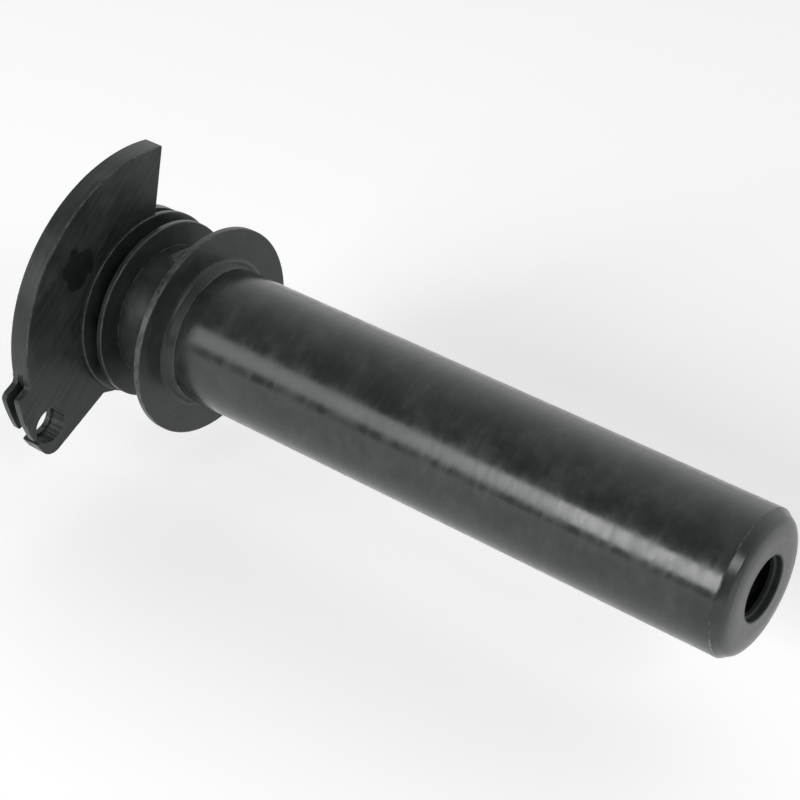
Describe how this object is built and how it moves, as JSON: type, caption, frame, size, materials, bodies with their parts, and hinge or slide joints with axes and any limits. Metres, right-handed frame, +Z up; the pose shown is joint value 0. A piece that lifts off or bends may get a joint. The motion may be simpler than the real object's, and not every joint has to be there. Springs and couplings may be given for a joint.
{
  "type": "motorcycle throttle tube",
  "caption": "Quick-turn throttle tube: a black grip tube with a thrust flange, a grooved cable drum, a half-moon cable sector with a slotted nipple seat, and a bearing in its rounded outer end.",
  "frame": {"origin": "on the handlebar's axis, in the plane of the thrust flange's front face, where the rubber grip stops", "axes": "+X along the handlebar's axis, from the cable sector to the closed outer end; +Z up; the cable sector's nipple seat lies towards -Y and a little below the axis"},
  "size_m": [0.1416, 0.0559, 0.0526],
  "materials": {
    "black_acetal": "turned and milled, satin, softly scuffed",
    "key_steel": "ground",
    "spring_steel": "blackened spring steel",
    "bush_polymer": "low-friction bearing polymer, satin",
    "bearing_steel": "ground",
    "ball_steel": "polished",
    "cage_nylon": "moulded nylon",
    "seal_rubber": "moulded"
  },
  "bodies": {
    "bar_side": {"bearing_inner_ring": "bearing_steel"},
    "throttle_tube": {"grip_tube": "black_acetal", "end_cap": "black_acetal", "thrust_flange": "black_acetal", "cable_drum": "black_acetal", "cable_sector": "black_acetal", "sector_key": "key_steel", "tube_keys": "key_steel", "sector_circlip": "spring_steel", "bearing_circlip": "spring_steel", "bar_bush": "bush_polymer", "bearing_outer_ring": "bearing_steel", "bearing_seal_inboard": "seal_rubber", "bearing_seal_outboard": "seal_rubber"},
    "ball_train": {"bearing_balls": "ball_steel", "bearing_cage": "cage_nylon"}
  },
  "joints": [
    {"name": "throttle_turn", "type": "hinge", "parent": "bar_side", "child": "throttle_tube", "pos_m": [0.1104, 0, 0], "axis": [1, 0, 0], "range_deg": [0, 70]},
    {"name": "ball_train_turn", "type": "hinge", "parent": "bar_side", "child": "ball_train", "pos_m": [0.1104, 0, 0], "axis": [1, 0, 0], "range_deg": [0, 42]}
  ],
  "couplings": [
    {"joint": "ball_train_turn", "follows": "throttle_turn", "ratio": 0.5969}
  ]
}
